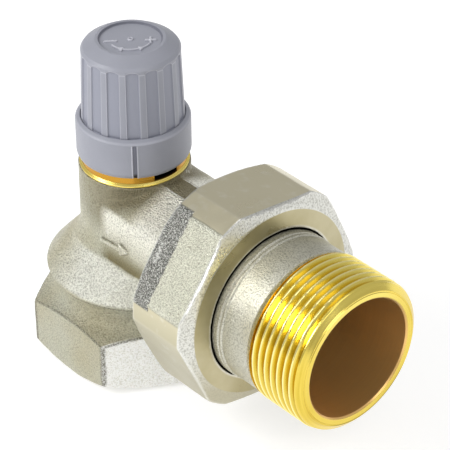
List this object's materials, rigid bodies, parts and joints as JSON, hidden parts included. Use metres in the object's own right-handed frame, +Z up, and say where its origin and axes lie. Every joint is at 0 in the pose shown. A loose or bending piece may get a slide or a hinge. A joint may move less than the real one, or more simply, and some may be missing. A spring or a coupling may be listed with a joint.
{
  "type": "thermostatic radiator valve",
  "caption": "Angle thermostatic radiator valve: nickel-plated body with a female inlet, union nut and threaded brass tail, and a grey fluted hand cap over the stem.",
  "frame": {"origin": "centre of the inlet's end face, on the spindle's axis", "axes": "+Z up the spindle towards the cap, +X out of the outlet along the tail, +Y completes the right-handed frame"},
  "size_m": [0.0913, 0.0484, 0.0753],
  "materials": {
    "nickel_plate": "nickel-plated brass, sand-blasted casting",
    "bare_brass": "machined brass",
    "stainless": "turned stainless steel",
    "black_rubber": "matt rubber",
    "grey_plastic": "satin moulded plastic",
    "white_plastic": "moulded plastic",
    "seal_fibre": "pressed fibre"
  },
  "bodies": {
    "valve": {"valve_body": "nickel_plate", "insert_housing": "bare_brass", "gland_nut": "bare_brass", "gland_o_ring": "black_rubber", "pin_seal": "black_rubber", "pin_guide": "white_plastic", "return_spring": "stainless"},
    "stem": {"pressure_pin": "stainless", "spindle": "stainless", "spring_clip": "stainless", "spring_cup": "stainless", "valve_cone": "bare_brass", "seat_seal": "black_rubber", "cone_nut": "bare_brass"},
    "cap": {"cap_collar": "grey_plastic"},
    "knob": {"cap_knob": "grey_plastic"},
    "plunger": {"cap_plunger": "white_plastic"},
    "tail": {"tailpiece": "nickel_plate", "tail_seal": "seal_fibre"},
    "nut": {"union_nut": "nickel_plate"}
  },
  "joints": [
    {"name": "cap_lift", "type": "slide", "parent": "valve", "child": "cap", "axis": [0, 0, 1], "range_m": [0, 0.03]},
    {"name": "knob_turn", "type": "hinge", "parent": "cap", "child": "knob", "pos_m": [0, 0, 0.06], "axis": [0, 0, 1], "range_deg": [-312, 0]},
    {"name": "plunger_slide", "type": "slide", "parent": "cap", "child": "plunger", "axis": [0, 0, 1], "range_m": [-0.00262, 0]},
    {"name": "stem_slide", "type": "slide", "parent": "valve", "child": "stem", "axis": [0, 0, 1], "range_m": [-0.00262, 0], "deforming": ["return_spring"]},
    {"name": "tail_slide", "type": "slide", "parent": "valve", "child": "tail", "axis": [1, 0, 0], "range_m": [0, 0.0104]},
    {"name": "nut_turn", "type": "hinge", "parent": "tail", "child": "nut", "pos_m": [0.035, 0, 0.0318], "axis": [1, 0, 0], "range_deg": [0, 1620]}
  ],
  "couplings": [
    {"joint": "plunger_slide", "follows": "knob_turn", "m_per_rad": 0.00047746},
    {"joint": "stem_slide", "follows": "knob_turn", "m_per_rad": 0.00047746},
    {"joint": "tail_slide", "follows": "nut_turn", "m_per_rad": 0.00036749}
  ]
}
